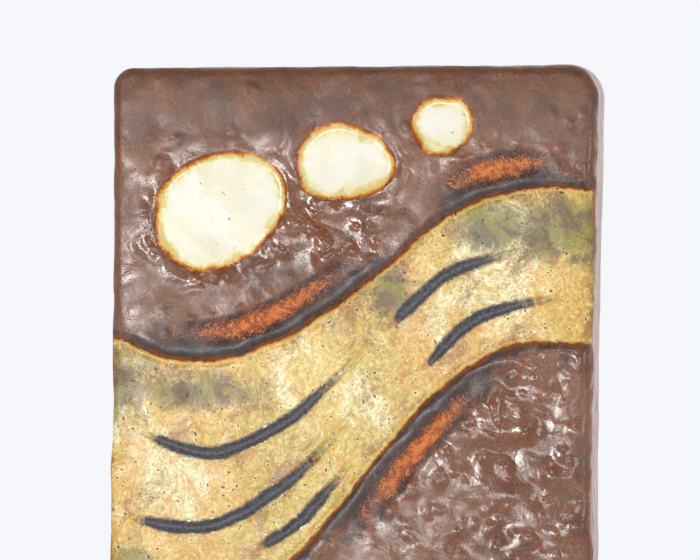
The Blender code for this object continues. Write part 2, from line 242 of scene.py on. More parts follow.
def nearest_on(points, line, closed=True):
    """Each point's distance to a line, up to REACH, and the share of the line there."""
    start = line if closed else line[:-1]
    end = np.roll(line, -1, 0) if closed else line[1:]
    run = end - start
    best = np.full(len(points), REACH)
    share = np.zeros(len(points))
    for first in range(0, len(start), BLOCK):
        block = np.concatenate([start[first:first + BLOCK], end[first:first + BLOCK]])
        near = ((points > block.min(0) - REACH) & (points < block.max(0) + REACH)).all(1)
        where = np.flatnonzero(near)
        here = points[where]
        shortest, at = best[where], share[where]
        for i in range(first, min(first + BLOCK, len(start))):
            from_start = here - start[i]
            along = np.clip(from_start @ run[i] / max(run[i] @ run[i], 1e-18), 0, 1)
            off = from_start - along[:, None] * run[i]
            away = np.hypot(off[:, 0], off[:, 1])
            nearer = away < shortest
            shortest[nearer] = away[nearer]
            at[nearer] = (i + along[nearer]) / len(start)
        best[where], share[where] = shortest, at
    return best, share


def depth_inside(points, ring):
    """Distance to a ring, positive inside it and negative outside."""
    x, z = points.T
    inside = np.zeros(len(points), bool)
    for (xa, za), (xb, zb) in zip(ring, np.roll(ring, -1, 0)):
        if za != zb:
            inside ^= ((za > z) != (zb > z)) & (x < (xb - xa) * (z - za) / (zb - za) + xa)
    away = nearest_on(points, ring)[0]
    return np.where(inside, away, -away)


def hump(distance, half_width):
    """1 at no distance, falling smoothly to 0 at the half width."""
    return np.cos(np.clip(distance / half_width, -1, 1) * math.pi / 2) ** 2


def ease(value, low, high):
    """0 below low, 1 above high and smooth between them."""
    t = np.clip((value - low) / (high - low), 0, 1)
    return t * t * (3 - 2 * t)


def waves(points, size, seed):
    """Smooth noise of about that size in metres at each point, mostly between -0.6 and 0.6."""
    return np.array([noise.noise(SLANTED @ Vector((x / size, z / size, seed))) for x, z in points])


def sideways(line, closed):
    """Unit vectors to the right of the way that a line runs."""
    if closed:
        run = np.roll(line, -1, 0) - np.roll(line, 1, 0)
    else:
        run = np.gradient(line, axis=0)
    run /= np.hypot(*run.T)[:, None]
    return np.stack([run[:, 1], -run[:, 0]], 1)


def hand_formed(points):
    """A true rectangle's points, bent as the pressed slab is: a slim waist and a leaning top."""
    x, z = points.T
    up = z / (PLAQUE_HEIGHT / 2)
    across = x / (PLAQUE_WIDTH / 2)
    waist = SIDE_WAIST * hump(up - WAIST_AT, 1)
    lean = TOP_TILT / 2 * (across - 1) * (up + 1) / 2
    return np.stack([x - waist * across, z + lean], 1)


def slab_outline(inset):
    """The slab's outline from the front, an inset inside its back edge, and its outward directions."""
    half_width, half_height = PLAQUE_WIDTH / 2 - inset, PLAQUE_HEIGHT / 2 - inset
    points = []
    for start, side_x, side_z in ((-90, 1, -1), (0, 1, 1), (90, -1, 1), (180, -1, -1)):
        whole = RIGHT_CORNER_RADIUS if side_x > 0 else LEFT_CORNER_RADIUS
        radius = whole - inset
        steps = round(whole * math.pi / 2 / OUTLINE_STEP) + 2
        for angle in np.radians(np.linspace(start, start + 90, steps)):
            points.append(
                (side_x * (half_width - radius) + radius * math.cos(angle),
                 side_z * (half_height - radius) + radius * math.sin(angle))
            )
    ring = []
    for a, b in zip(points, np.roll(points, -1, 0)):
        steps = max(1, round(math.dist(a, b) / OUTLINE_STEP))
        ring += [np.array(a) + (np.array(b) - a) * k / steps for k in range(steps)]
    ring = hand_formed(np.array(ring))
    return ring, sideways(ring, closed=True)


class Face:
    """The relief: its outlines in metres, and the height of the face over its lower level."""

    def __init__(self):
        self.border = slab_outline(FACE_INSET)[0]
        self.field_rings = []
        self.rims = []
        for field in FIELDS:
            ring = []
            for side in field:
                rim = face_curve(side["rim"])
                self.rims.append({"line": rim, "closed": False, "troughs": side["troughs"]})
                ring += [*rim.tolist(), *(on_face(p) for p in side["corners"])]
            self.field_rings.append(np.array(ring))
        seed = face_curve(SEED_RING, closed=True)
        self.rims.append({"line": seed, "closed": True, "troughs": []})
        self.field_rings.append(seed)
        self.stones = [stone_ring(stone) for stone in STONES]
        self.lines = [face_curve(line) for line in CARVED_LINES]
        self.lumps = self.scattered_lumps()

    def in_field(self, points):
        """How deep inside a raised field each point lies, negative on the lower level."""
        return np.max([depth_inside(points, ring) for ring in self.field_rings], 0)

    def half_line(self, share):
        """Half a carved line's width along its length: it starts blunt and runs out thin."""
        blunt = np.sqrt(np.clip(share / BLUNT_SHARE, 0, 1))
        thin = np.sqrt(np.clip((1 - share) / THIN_SHARE, 0, 1))
        return LINE_WIDTH / 2 * blunt * thin

    def scattered_lumps(self):
        """Lumps that the glaze left on the raised fields, as place, radius, stretch, turn and height."""
        draw = random.Random(11)
        spots = np.array([
            (draw.uniform(-LUMPS_ACROSS, LUMPS_ACROSS), draw.uniform(-LUMPS_UP, LUMPS_UP))
            for _ in range(LUMP_COUNT)
        ])
        depth = self.in_field(spots)
        stone = self.in_stone(spots)
        crowd = self.crowding(spots, stone)
        lumps = []
        for spot, d, s, c in zip(spots, depth, stone, crowd):
            chance, size, shape = draw.random(), draw.random(), draw.random()
            turn = draw.uniform(-1.5, -0.3)
            if d > LUMP_CLEAR_OF_RIM and s < -LUMP_CLEAR_OF_STONE and chance < c:
                radius = LUMP_RADIUS + LUMP_GROWTH * size ** 2
                stretch = 1 + 1.1 * shape ** 2
                tall = (LUMP_STEEPNESS + LUMP_STEEPER * draw.random()) * radius
                lumps.append((spot, radius, stretch, turn, tall))
        return lumps

    def in_stone(self, points):
        """How deep inside a stone each point lies, negative outside them all."""
        return np.max([depth_inside(points, ring) for ring in self.stones], 0)

    def crowding(self, points, stone):
        """How thick the lumps lie, from 0 to 1: sparse along the top, thick round the stones."""
        crowd = 0.36 + 0.64 * ease(waves(points, 0.045, 3.1), -0.25, 0.3)
        low_on_the_right = ease(points[:, 0] - 1.2 * points[:, 1], 0.0, 0.05)
        crowd = np.maximum(crowd, 0.75 * low_on_the_right)
        crowd = np.maximum(crowd, 0.9 * hump(np.maximum(-stone - 0.003, 0), 0.012))
        return crowd * (1 - 0.85 * ease(points[:, 1], 0.096, 0.124))

    def lump_height(self, points):
        """The height of the tallest lump at each point."""
        height = np.zeros(len(points))
        for (x, z), radius, stretch, turn, tall in self.lumps:
            reach = radius * stretch
            near = np.flatnonzero((abs(points[:, 0] - x) < reach) & (abs(points[:, 1] - z) < reach))
            dx, dz = (points[near] - (x, z)).T
            along = (dx * math.cos(turn) + dz * math.sin(turn)) / stretch
            across = -dx * math.sin(turn) + dz * math.cos(turn)
            rise = tall * hump(np.hypot(along, across), radius)
            height[near] = np.maximum(height[near], rise)
        return height

    def raised(self, points, depth):
        """The raised fields with their rolled rims, and the crease at their foot."""
        up_rim = np.clip(depth / RIM_WIDTH, 0, 1)
        height = FIELD_RISE * np.sqrt(1 - (1 - up_rim) ** 2)
        height -= CREASE_DEPTH * hump(depth + CREASE_WIDTH / 2, CREASE_WIDTH / 2)
        swollen = ease(waves(points, 0.02, 8.3), -0.3, 0.4)
        return height + RIM_SWELL * swollen * hump(depth - RIM_SWELL_AT, RIM_SWELL_WIDTH)

    def troughs(self, points, depth):
        """How deep the troughs are pressed, from 0 to 1, and how burnt the glaze is round them."""
        pressed = np.zeros(len(points))
        burnt = np.zeros(len(points))
        for rim in self.rims:
            away, share = nearest_on(points, rim["line"], rim["closed"])
            for middle, half in rim["troughs"]:
                here = hump(away - TROUGH_FROM_EDGE, TROUGH_WIDTH / 2) * hump(share - middle, half)
                pressed = np.maximum(pressed, here * (depth > 0))
                around = hump(away - BURN_FROM_EDGE, BURN_WIDTH / 2) * hump(share - middle, half * 1.5)
                burnt = np.maximum(burnt, around * (depth > 0))
        return pressed, burnt

    def carved(self, points):
        """The carved lines' height with the burr beside them, and how strong their ink is."""
        height = np.zeros(len(points))
        ink = np.zeros(len(points))
        burr = BURR_HEIGHT + BURR_UNEVEN * waves(points, 0.004, 5.5)
        for line in self.lines:
            away, share = nearest_on(points, line, closed=False)
            half = np.maximum(self.half_line(share), 1e-6)
            groove = np.clip(1 - (away / half) ** 2, 0, 1)
            height -= LINE_DEPTH * half / (LINE_WIDTH / 2) * groove
            height += burr * hump(away - half - BURR_AT, BURR_WIDTH) * (half > BURR_AT)
            fade = ease(share, 0.0, 0.10) * ease(1 - share, 0.0, THIN_SHARE)
            ink = np.maximum(ink, np.clip(1.6 - away / np.maximum(half, 0.0007), 0, 1) * fade)
        return height, ink

    def brown_relief(self, points, stone, crowd, lumps):
        """The brown glaze's lumps, its slow waves and the wrinkles round the stones."""
        height = lumps + MM * (0.55 + 0.45 * crowd) * waves(points, 0.021, 1.2)
        height += MM * (0.25 + 1.05 * crowd) * waves(points, 0.0105, 2.4)
        height += MM * (0.06 + 0.32 * crowd) * waves(points, 0.0052, 3.3)
        near_stone = hump(-stone - 0.007, 0.008) * ease(waves(points, 0.011, 71.3), -0.30, 0.15)
        astray = stone + 0.0035 * waves(points, 0.012, 14.2)
        along_stone = np.stack([astray / 0.0042, points.sum(1) / 0.009], 1)
        return height + MM * (0.30 + 0.60 * crowd) * near_stone * waves(along_stone, 1, 4.4)

    def edge_fall(self, points, from_edge):
        """How far the face falls towards its rounded edge, a little more in some places."""
        fall = EDGE_FALL * (1 - np.clip(from_edge / EDGE_FALL_WIDTH, 0, 1)) ** 2
        uneven = ease(waves(points, 0.009, 61.7), -0.35, 0.35)
        return fall + UNEVEN_EDGE * uneven * (1 - np.clip(from_edge / UNEVEN_EDGE_WIDTH, 0, 1)) ** 2

    def smoke(self, points):
        """How smoky the ochre glaze is at each point, from 0 to 1."""
        smoke = np.zeros(len(points))
        for place, reach in SMOKE:
            far = ((points - on_face(place)) / reach / MM) ** 2
            smoke = np.maximum(smoke, np.exp(-far.sum(1)))
        return smoke

    def shape(self, points):
        """The face's height over the lower level, with the measures that the glazes follow."""
        depth = self.in_field(points)
        stone = self.in_stone(points)
        from_edge = depth_inside(points, self.border[::3])
        pressed, burnt = self.troughs(points, depth)
        grooves, ink = self.carved(points)
        lumps = self.lump_height(points)
        crowd = self.crowding(points, stone)

        height = self.raised(points, depth) - TROUGH_DEPTH * pressed + grooves
        height -= STONE_DEPTH * ease(stone, -STONE_SLOPE / 2, STONE_SLOPE / 2)
        on_brown = ease(depth, 0.0006, 0.0045)
        in_cream = ease(stone, -0.0012, 0.0012)
        rough = on_brown * (1 - in_cream) * (1 - 0.85 * pressed)
        height += rough * self.brown_relief(points, stone, crowd, lumps)
        height += in_cream * 0.20 * MM * waves(points, 0.016, 6.1)
        on_ochre = ease(-depth, 0.0018, 0.004)
        height += on_ochre * MM * (0.22 * waves(points, 0.014, 7.7) + 0.10 * waves(points, 0.0045, 9.9))
        height -= self.edge_fall(points, from_edge)
        return height, {
            "rim_depth": depth / MM,
            "stone_depth": np.maximum(stone / MM, -60),
            "line_core": ink,
            "pressed": pressed,
            "burnt": burnt,
            "smoke": self.smoke(points),
            "lump": lumps / MM,
            "crowd": crowd,
            "from_edge": from_edge / MM,
        }

    def contours(self):
        """The lines that the mesh follows, at the offsets where each form's profile turns."""
        for rim in self.rims:
            for offset in (-CREASE_WIDTH, -CREASE_WIDTH / 2, 0, RIM_WIDTH / 16, RIM_WIDTH / 4, RIM_WIDTH):
                yield from offset_runs(rim["line"], rim["closed"], offset, self.in_field)
        for line in self.lines:
            half = self.half_line(np.linspace(0, 1, len(line)))[:, None]
            across = sideways(line, closed=False)
            wide = half[:, 0] > SHORTEST_EDGE * 2
            yield line
            for side in (-1, 1):
                yield (line + side * across * half)[wide]


def offset_runs(line, closed, offset, depth_at):
    """A line moved inwards by the offset, in runs that leave out where it would cross itself."""
    across = sideways(line, closed)
    probe = line + across * SHORTEST_EDGE
    inward = np.where(depth_at(probe) > depth_at(line), 1, -1)[:, None]
    moved = line + across * inward * offset
    true_there = np.abs(depth_at(moved) - offset) < SHORTEST_EDGE
    if closed:
        moved, true_there = np.vstack([moved, moved[:1]]), np.append(true_there, true_there[:1])
    turns = np.flatnonzero(np.diff([0, *true_there, 0]))
    for first, end in zip(turns[::2], turns[1::2]):
        yield moved[first:end]


def cut_to(line, border):
    """The runs of a line inside the border, with ends just past it that cut it cleanly."""
    depth = depth_inside(line, border)
    run = []
    for i, (point, here) in enumerate(zip(line, depth)):
        beside = [k for k in (i - 1, i + 1) if 0 <= k < len(line) and depth[k] > 0]
        if here > 0:
            run.append(point)
        elif beside:
            inner = line[beside[0]]
            past = (depth[beside[0]] + SHORTEST_EDGE) / (depth[beside[0]] - here)
            run.append(inner + (point - inner) * min(past, 1))
        if (here <= 0 or i == len(line) - 1) and len(run) > 1:
            yield np.array(run)
        if here <= 0:
            run = run[-1:] if beside == [i + 1] else []


def triangulated(border, lines, loose, least):
    """Points, triangles and the border's loop of a mesh that fills a border and follows the lines."""
    points, edges = [*border], []
    count = len(border)
    ring = [(i, (i + 1) % count) for i in range(count)]
    for line in lines:
        first = len(points)
        points += [*line]
        edges += [(first + i, first + i + 1) for i in range(len(line) - 1)]
    points += [*loose]
    places, _, triangles = delaunay_2d_cdt(
        [Vector(p) for p in points], ring + edges, [list(range(count))], 1, least / 20
    )[:3]
    places = np.array(places)
    triangles = np.array(triangles)
    triangles = triangles[depth_inside(places[triangles].mean(1), border) > 0]
    bm = bmesh.new()
    made = {i: bm.verts.new((*places[i], 0)) for i in np.unique(triangles)}
    for triangle in triangles:
        bm.faces.new([made[i] for i in triangle])
    outer = [v for v in bm.verts if v.is_boundary]
    close = bmesh.ops.find_doubles(bm, verts=bm.verts, keep_verts=outer, dist=least)
    bmesh.ops.weld_verts(bm, targetmap=close["targetmap"])
    bmesh.ops.recalc_face_normals(bm, faces=bm.faces)
    bm.verts.index_update()
    onward = {}
    for edge in bm.edges:
        if edge.is_boundary:
            corner = edge.link_loops[0]
            onward[corner.vert.index] = corner.link_loop_next.vert.index
    loop = [next(iter(onward))]
    while onward[loop[-1]] != loop[0]:
        loop.append(onward[loop[-1]])
    places = np.array([v.co[:2] for v in bm.verts])
    triangles = [[v.index for v in f.verts] for f in bm.faces]
    bm.free()
    return places, triangles, loop


def nearest_point_tree(places):
    """A tree that finds the nearest of some points on the face."""
    tree = KDTree(len(places))
    for i, (x, z) in enumerate(places):
        tree.insert((x, z, 0), i)
    tree.balance()
    return tree


def open_points(border, step, clear, taken):
    """Points in staggered rows inside the border, clear of the points already there."""
    low, high = border.min(0), border.max(0)
    across = np.arange(low[0], high[0], step)
    up = np.arange(low[1], high[1], step * math.sqrt(3) / 2)
    x, z = np.meshgrid(across, up)
    x[1::2] += step / 2
    loose = np.stack([x.ravel(), z.ravel()], 1)
    draw = np.random.default_rng(5)
    loose += draw.uniform(-OPEN_JITTER, OPEN_JITTER, loose.shape) * step
    loose = loose[depth_inside(loose, border[::3]) > clear]
    tree = nearest_point_tree(taken)
    return [p for p in loose if tree.find((*p, 0))[2] > clear]


def outward_at(places, ring, normals):
    """The outward direction of the slab's outline beside each place."""
    share = nearest_on(places, ring)[1] * len(ring)
    before = share.astype(int) % len(ring)
    part = (share - share.astype(int))[:, None]
    mixed = normals[before] * (1 - part) + normals[(before + 1) % len(ring)] * part
    return mixed / np.hypot(*mixed.T)[:, None]


def edge_levels():
    """Steps down the edge, walls and chamfer: reach outwards, depth, and the face's share in it."""
    round_end = SLAB_DEPTH - EDGE_ROUND
    levels = []
    start = math.radians(EDGE_START)
    for k in range(1, ROUND_STEPS + 1):
        angle = start + (math.pi / 2 - start) * k / ROUND_STEPS
        reach = EDGE_ROUND * (math.sin(angle) - math.sin(start)) / (1 - math.sin(start))
        levels.append((reach, round_end, math.cos(angle) / math.cos(start)))
    for k in range(1, WALL_STEPS + 1):
        down = k / WALL_STEPS
        reach = EDGE_ROUND + WALL_FLARE * (1.2 * down - 0.2 * down ** 6)
        levels.append((reach, round_end + (BACK_CHAMFER - round_end) * down, 0))
    for k in range(1, CHAMFER_STEPS + 1):
        angle = math.pi / 2 * k / CHAMFER_STEPS
        reach = FACE_INSET - BACK_CHAMFER * (1 - math.cos(angle))
        levels.append((reach, BACK_CHAMFER * (1 - math.sin(angle)), 0))
    return levels


def edge_rings(root, outward, levels):
    """Rings of points round the slab, from its rounded edge to its back, a little wavy in between."""
    rings = []
    for number, (reach, depth, share_of_face) in enumerate(levels):
        across = root[:, [0, 2]] + outward * reach
        down = depth + (-root[:, 1] - depth) * share_of_face
        ring = np.stack([across[:, 0], -down, across[:, 1]], 1)
        sway = np.array([
            noise.noise((x / 0.022, y / 0.013, z / 0.022 + 60))
            + 0.5 * noise.noise((x / 0.007, y / 0.02, z / 0.007))
            for x, y, z in ring
        ])
        free = min(1, (number + 1) / ROUND_STEPS, (len(levels) - number) / 4 - 0.25)
        ring[:, [0, 2]] += outward * (sway * WALL_SWAY * free)[:, None]
        rings.append(ring)
    return rings


def wandering(places, from_edge):
    """Shifts that make the relief's outlines wander by hand, fading out towards the slab's edge."""
    slow = np.stack([waves(places, 0.013, seed) for seed in (21.1, 31.7)], 1)
    quick = np.stack([waves(places, 0.0042, seed) for seed in (41.3, 51.9)], 1)
    return (slow * OUTLINE_WANDER + quick * OUTLINE_JITTER) * ease(from_edge, 0.3, 5)[:, None]


def plaque_skin():
    """The glazed skin, from the face to the back's rim, with its last ring and the glazes' measures."""
    face = Face()
    border, normals = slab_outline(FACE_INSET)
    lines = [run for contour in face.contours() for run in cut_to(contour, border)]
    taken = np.concatenate([border, *lines])
    loose = open_points(border, OPEN_STEP, CLEAR_OF_CONTOURS, taken)
    places, faces, loop = triangulated(border, lines, loose, SHORTEST_EDGE)
    height, measures = face.shape(places)
    verts = np.stack([places[:, 0], -SLAB_DEPTH - height, places[:, 1]], 1)
    verts[:, [0, 2]] += wandering(places, measures["from_edge"])

    levels = edge_levels()
    rings = edge_rings(verts[loop], outward_at(places[loop], border, normals), levels)
    first, count = len(verts), len(loop)
    before = np.array(loop)
    for k in range(len(rings)):
        now = first + k * count + np.arange(count)
        for i in range(count):
            j = (i + 1) % count
            faces.append([before[i], now[i], now[j], before[j]])
        before = now
    verts = np.concatenate([verts, *rings])
    for name, values in measures.items():
        on_rings = [values[loop]] * len(levels)
        if name == "from_edge":
            on_rings = [np.full(count, past_edge(reach, depth)) for reach, depth, _ in levels]
        measures[name] = np.concatenate([values, *on_rings])
    return verts, faces, rings[-1][:, [0, 2]], measures


def past_edge(reach, depth):
    """The measure from_edge past the face: minus the way out and a share of the way down."""
    return -(reach + 0.6 * (SLAB_DEPTH - EDGE_ROUND - depth)) / MM


def slot_ring(grow):
    """The slot's outline grown by so much: straight above and below, round at both ends."""
    radius = SLOT_HEIGHT / 2 + grow
    middle = PLAQUE_HEIGHT / 2 - SLOT_BELOW_TOP
    half_straight = (SLOT_LENGTH - SLOT_HEIGHT) / 2
    ring = []
    for angle in np.radians(np.arange(SLOT_TURN_STEP / 2, 360, SLOT_TURN_STEP)):
        x = radius * math.cos(angle)
        ring.append((x + math.copysign(half_straight, x), middle + radius * math.sin(angle)))
    return np.array(ring)


def clay_back(outline):
    """The bare back inside the walls' last ring, with the slot sunk in it."""
    mouth = slot_ring(SLOT_LIP)
    lines = [np.vstack([mouth, mouth[:1]])]
    taken = np.concatenate([outline, mouth])
    loose = open_points(outline, BACK_STEP, BACK_STEP * 0.6, taken)
    places, triangles, _ = triangulated(outline, lines, loose, SHORTEST_EDGE)
    centres = np.array([places[t].mean(0) for t in triangles])
    faces = [t for t, depth in zip(triangles, depth_inside(centres, mouth)) if depth < 0]
    verts = [(x, 0.0, z) for x, z in places]
    tree = nearest_point_tree(places)
    before = [tree.find((x, z, 0))[1] for x, z in mouth]
    depths = [(SLOT_LIP * 0.3, SLOT_LIP * 0.3), (0, SLOT_LIP), (0, SLOT_DEPTH - SLOT_FILLET),
              (-SLOT_FILLET * 0.3, SLOT_DEPTH - SLOT_FILLET * 0.3), (-SLOT_FILLET, SLOT_DEPTH)]
    for grow, deep in depths:
        now = [len(verts) + i for i in range(len(before))]
        verts += [(x, -deep, z) for x, z in slot_ring(grow)]
        for i, j in zip(range(-1, len(now) - 1), range(len(now))):
            faces.append([before[i], before[j], now[j], now[i]])
        before = now
    faces.append(before)
    return verts, faces


def added(name, data):
    """An object made of the data, in the scene."""
    made = bpy.data.objects.new(name, data)
    bpy.context.scene.collection.objects.link(made)
    return made


def plaque():
    """The plaque as one closed mesh: the glazed skin and the clay back, welded at their rims."""
    skin, skin_faces, edge, measures = plaque_skin()
    back, back_faces = clay_back(edge)
    count = len(skin)
    mesh = bpy.data.meshes.new("plaque")
    faces = skin_faces + [[i + count for i in face] for face in back_faces]
    mesh.from_pydata([tuple(v) for v in [*skin, *back]], [], [[int(i) for i in f] for f in faces])
    for name, values in measures.items():
        attribute = mesh.attributes.new(name, "FLOAT", "POINT")
        whole = np.concatenate([values, np.full(len(back), values[-1])])
        attribute.data.foreach_set("value", np.ascontiguousarray(whole, dtype=np.float32))
    clay = [0] * len(skin_faces) + [1] * len(back_faces)
    mesh.polygons.foreach_set("material_index", clay)
    bm = bmesh.new()
    bm.from_mesh(mesh)
    rim = [v for v in bm.verts if v.is_boundary]
    bmesh.ops.remove_doubles(bm, verts=rim, dist=SHORTEST_EDGE / 4)
    bmesh.ops.recalc_face_normals(bm, faces=bm.faces)
    bm.to_mesh(mesh)
    bm.free()
    mesh.shade_smooth()
    mesh.materials.append(face_material())
    mesh.materials.append(clay_material())
    return added("plaque", mesh)


def rgb(red, green, blue):
    """A colour given as it looks on a screen, from 0 to 255, as linear light."""
    parts = [c / 255 for c in (red, green, blue)]
    return (*[c / 12.92 if c <= 0.04045 else ((c + 0.055) / 1.055) ** 2.4 for c in parts], 1.0)


class Nodes:
    """Makes the nodes of a tree and links them."""

    def __init__(self, tree):
        self.tree = tree

    def make(self, kind, inputs=(), **settings):
        node = self.tree.nodes.new("ShaderNode" + kind)
        for key, value in settings.items():
            setattr(node, key, value)
        for key, value in dict(inputs).items():
            self.put(node.inputs[key], value)
        return node

    def put(self, socket, value):
        if isinstance(value, bpy.types.NodeSocket):
            self.tree.links.new(value, socket)
        else:
            socket.default_value = value


class Shader(Nodes):
    """A material. Its methods add nodes and return the sockets that those give."""

    def __init__(self, name):
        self.material = bpy.data.materials.new(name)
        self.material.use_nodes = True
        super().__init__(self.material.node_tree)
        self.surface = self.tree.nodes["Principled BSDF"]
        self.origin = self.make("TexCoord").outputs["Object"]
        self.origin = self.warped(reach=5, size=12)

    def measure(self, name):
        return self.make("Attribute", attribute_name=name).outputs["Fac"]

    def place(self, size, seed, stretch, turn):
        """Where noise is read: turned by so many degrees, stretched, scaled and moved by the seed."""
        scale = [part / size / MM for part in stretch]
        spot = (seed * 7.31, seed * 3.77, seed * 5.13)
        inputs = {"Vector": self.origin, "Location": spot, "Scale": scale, "Rotation": SLANT}
        if turn:
            tilt = {"Vector": self.origin, "Rotation": (0, math.radians(turn), 0)}
            inputs["Vector"] = self.make("Mapping", tilt).outputs[0]
        return self.make("Mapping", inputs).outputs[0]

    def warped(self, reach, size):
        """The object's places moved to and fro by a few millimetres, so that edges run freely."""
        inputs = {"Vector": self.place(size, 9, (1, 1, 1), 0), "Scale": 1.0, "Detail": 0.6}
        push = self.make("TexNoise", inputs).outputs["Color"]
        swung = {0: push, 1: [2 * reach * MM] * 3, 2: [-reach * MM] * 3}
        push = self.make("VectorMath", swung, operation="MULTIPLY_ADD").outputs[0]
        return self.make("VectorMath", {0: self.origin, 1: push}, operation="ADD").outputs[0]

    def noise(self, size, seed=0, stretch=(1, 1, 1), turn=0, detail=4, rough=0.55, bend=0.0):
        """Cloudy noise with features of that size in millimetres, from about 0.2 to 0.8."""
        inputs = {"Vector": self.place(size, seed, stretch, turn), "Scale": 1.0, "Detail": detail,
                  "Roughness": rough, "Distortion": bend}
        return self.make("TexNoise", inputs).outputs["Fac"]

    def cells(self, size, seed):
        """Distance to scattered points, in cells of the size, and each one's random colour."""
        inputs = {"Vector": self.place(size, seed, (1, 1, 1), 0), "Scale": 1.0}
        node = self.make("TexVoronoi", inputs)
        return node.outputs["Distance"], node.outputs["Color"]

    def joined(self, operation, first, *others):
        """The first value joined with each of the others in turn."""
        for value in others:
            first = self.make("Math", {0: first, 1: value}, operation=operation).outputs[0]
        return first

    def add(self, *values):
        return self.joined("ADD", *values)

    def times(self, *values):
        return self.joined("MULTIPLY", *values)

    def swing(self, value, reach):
        """Noise moved to lie about 0, from -reach to reach at most."""
        inputs = {0: value, 1: 2 * reach, 2: -reach}
        return self.make("Math", inputs, operation="MULTIPLY_ADD").outputs[0]

    def step(self, value, low, high, bottom=0.0, top=1.0):
        """The bottom for values at low, the top for those at high, smooth in between."""
        inputs = {"Value": value, "From Min": low, "From Max": high, "To Min": bottom, "To Max": top}
        return self.make("MapRange", inputs, interpolation_type="SMOOTHSTEP").outputs["Result"]

    def band(self, value, low, full, full_end, end):
        """1 between full and full_end, 0 below low and above end."""
        return self.times(self.step(value, low, full), self.step(value, full_end, end, 1.0, 0.0))

    def blend(self, share, colour, other):
        """The colour where the share is 0, the other where it is 1."""
        return self.make("Mix", {0: share, 6: colour, 7: other}, data_type="RGBA").outputs[2]

    def over(self, colour, tint, *shares):
        """The colour with a tint laid over it, as thick as the product of the shares."""
        return self.blend(self.times(*shares), colour, rgb(*tint))

    def between(self, share, a, b):
        """The number a where the share is 0, b where it is 1."""
        return self.make("Mix", {0: share, 2: a, 3: b}, data_type="FLOAT").outputs[0]

    def finish(self, colour, roughness, height=None):
        """Sets the surface; the height of its bump is in millimetres."""
        self.put(self.surface.inputs["Base Color"], colour)
        self.put(self.surface.inputs["Roughness"], roughness)
        if height is not None:
            self.put(self.surface.inputs["IOR"], GLAZE_IOR)
            bump = self.make("Bump", {"Height": height, "Strength": 1.0, "Distance": MM})
            self.put(self.surface.inputs["Normal"], bump.outputs[0])
        return self.material


def brown_glaze(s, depth, stone):
    """Colour, roughness and bump of the brown glaze, with its burnt and rusty places."""
    burnt, pressed, lump, crowd = map(s.measure, ("burnt", "pressed", "lump", "crowd"))
    # Lighter brown where the lumps crowd towards the lower right, darker along the sparse top: partly the
    # glaze's own tone, partly painted sheen in the lighter brown.
    colour = s.blend(s.step(crowd, 0.08, 0.55), rgb(92, 56, 37), rgb(140, 103, 84))
    colour = s.over(colour, (104, 65, 46), s.step(s.noise(26, 1), 0.36, 0.62), 0.8)
    bloom = s.step(s.noise(15, 2, detail=5), 0.5, 0.68)
    colour = s.over(colour, (128, 96, 84), bloom, 0.5)
    clouded = s.step(s.noise(24, 16, detail=6, rough=0.62), 0.5, 0.66)
    colour = s.over(colour, (78, 62, 56), clouded, 0.5)
    rusty = s.step(s.noise(13, 3, detail=7, rough=0.7), 0.46, 0.64)
    colour = s.over(colour, (132, 78, 42), rusty, 0.7)
    broken = s.times(s.band(lump, 0.02, 0.1, 0.16, 0.36), s.step(s.noise(3.2, 45), 0.5, 0.6))
    colour = s.over(colour, (150, 76, 38), broken, s.step(crowd, 0.15, 0.45), 0.85)
    flecks = s.step(s.noise(1.0, 4, rough=0.75), 0.53, 0.6)
    colour = s.over(colour, (148, 80, 38), flecks, s.step(s.noise(15, 5, detail=3), 0.4, 0.58), 0.62)
    edge_of_stone = s.times(s.step(stone, -5.0, -0.5), s.step(s.noise(4, 6), 0.4, 0.6))
    colour = s.over(colour, (104, 50, 24), edge_of_stone, 0.7)
    grain = s.noise(0.6, 7, detail=3, rough=0.7)
    colour = s.over(colour, (60, 42, 36), s.step(grain, 0.44, 0.6), 0.55)

    near_rim = s.step(depth, 7.0, 1.0, 0.0, 0.38)
    soot = s.add(burnt, s.swing(s.noise(5, 8, detail=5, rough=0.65), 0.55), near_rim)
    soot = s.step(soot, 0.3, 0.62)
    blue = s.step(s.noise(9, 9), 0.48, 0.62)
    dark = s.blend(blue, rgb(50, 42, 42), rgb(60, 60, 68))
    colour = s.blend(s.times(soot, 0.88), colour, dark)

    dust = s.add(s.times(pressed, 1.02), s.swing(s.noise(0.62, 10, detail=3, rough=0.75), 1.7),
                 s.swing(s.noise(6, 11, detail=3), 0.42))
    dry = s.step(dust, 0.46, 0.74)
    rust = s.blend(s.step(s.noise(2.4, 12), 0.4, 0.62), rgb(210, 122, 58), rgb(158, 78, 38))
    colour = s.blend(dry, colour, rust)

    lip = s.band(depth, -0.3, 0.15, 0.7, 1.6)
    colour = s.over(colour, (132, 66, 28), lip, s.step(s.noise(6, 13), 0.36, 0.56))

    glossy = s.add(s.times(crowd, 0.7), s.swing(s.noise(9, 14), 0.7))
    roughness = s.step(glossy, -0.1, 0.75, 0.5, 0.15)
    roughness = s.between(s.times(soot, 0.7), roughness, 0.38)
    roughness = s.between(dry, roughness, 0.7)
    fine = s.between(s.times(soot, 0.8), s.between(crowd, 0.07, 0.03), 0.13)
    height = s.add(
        s.times(s.noise(3.4, 15, detail=3), 0.2),
        s.times(s.noise(0.5, 16, detail=2), fine),
        s.times(dust, 0.06, s.step(pressed, 0.1, 0.5)),
    )
    return colour, roughness, height


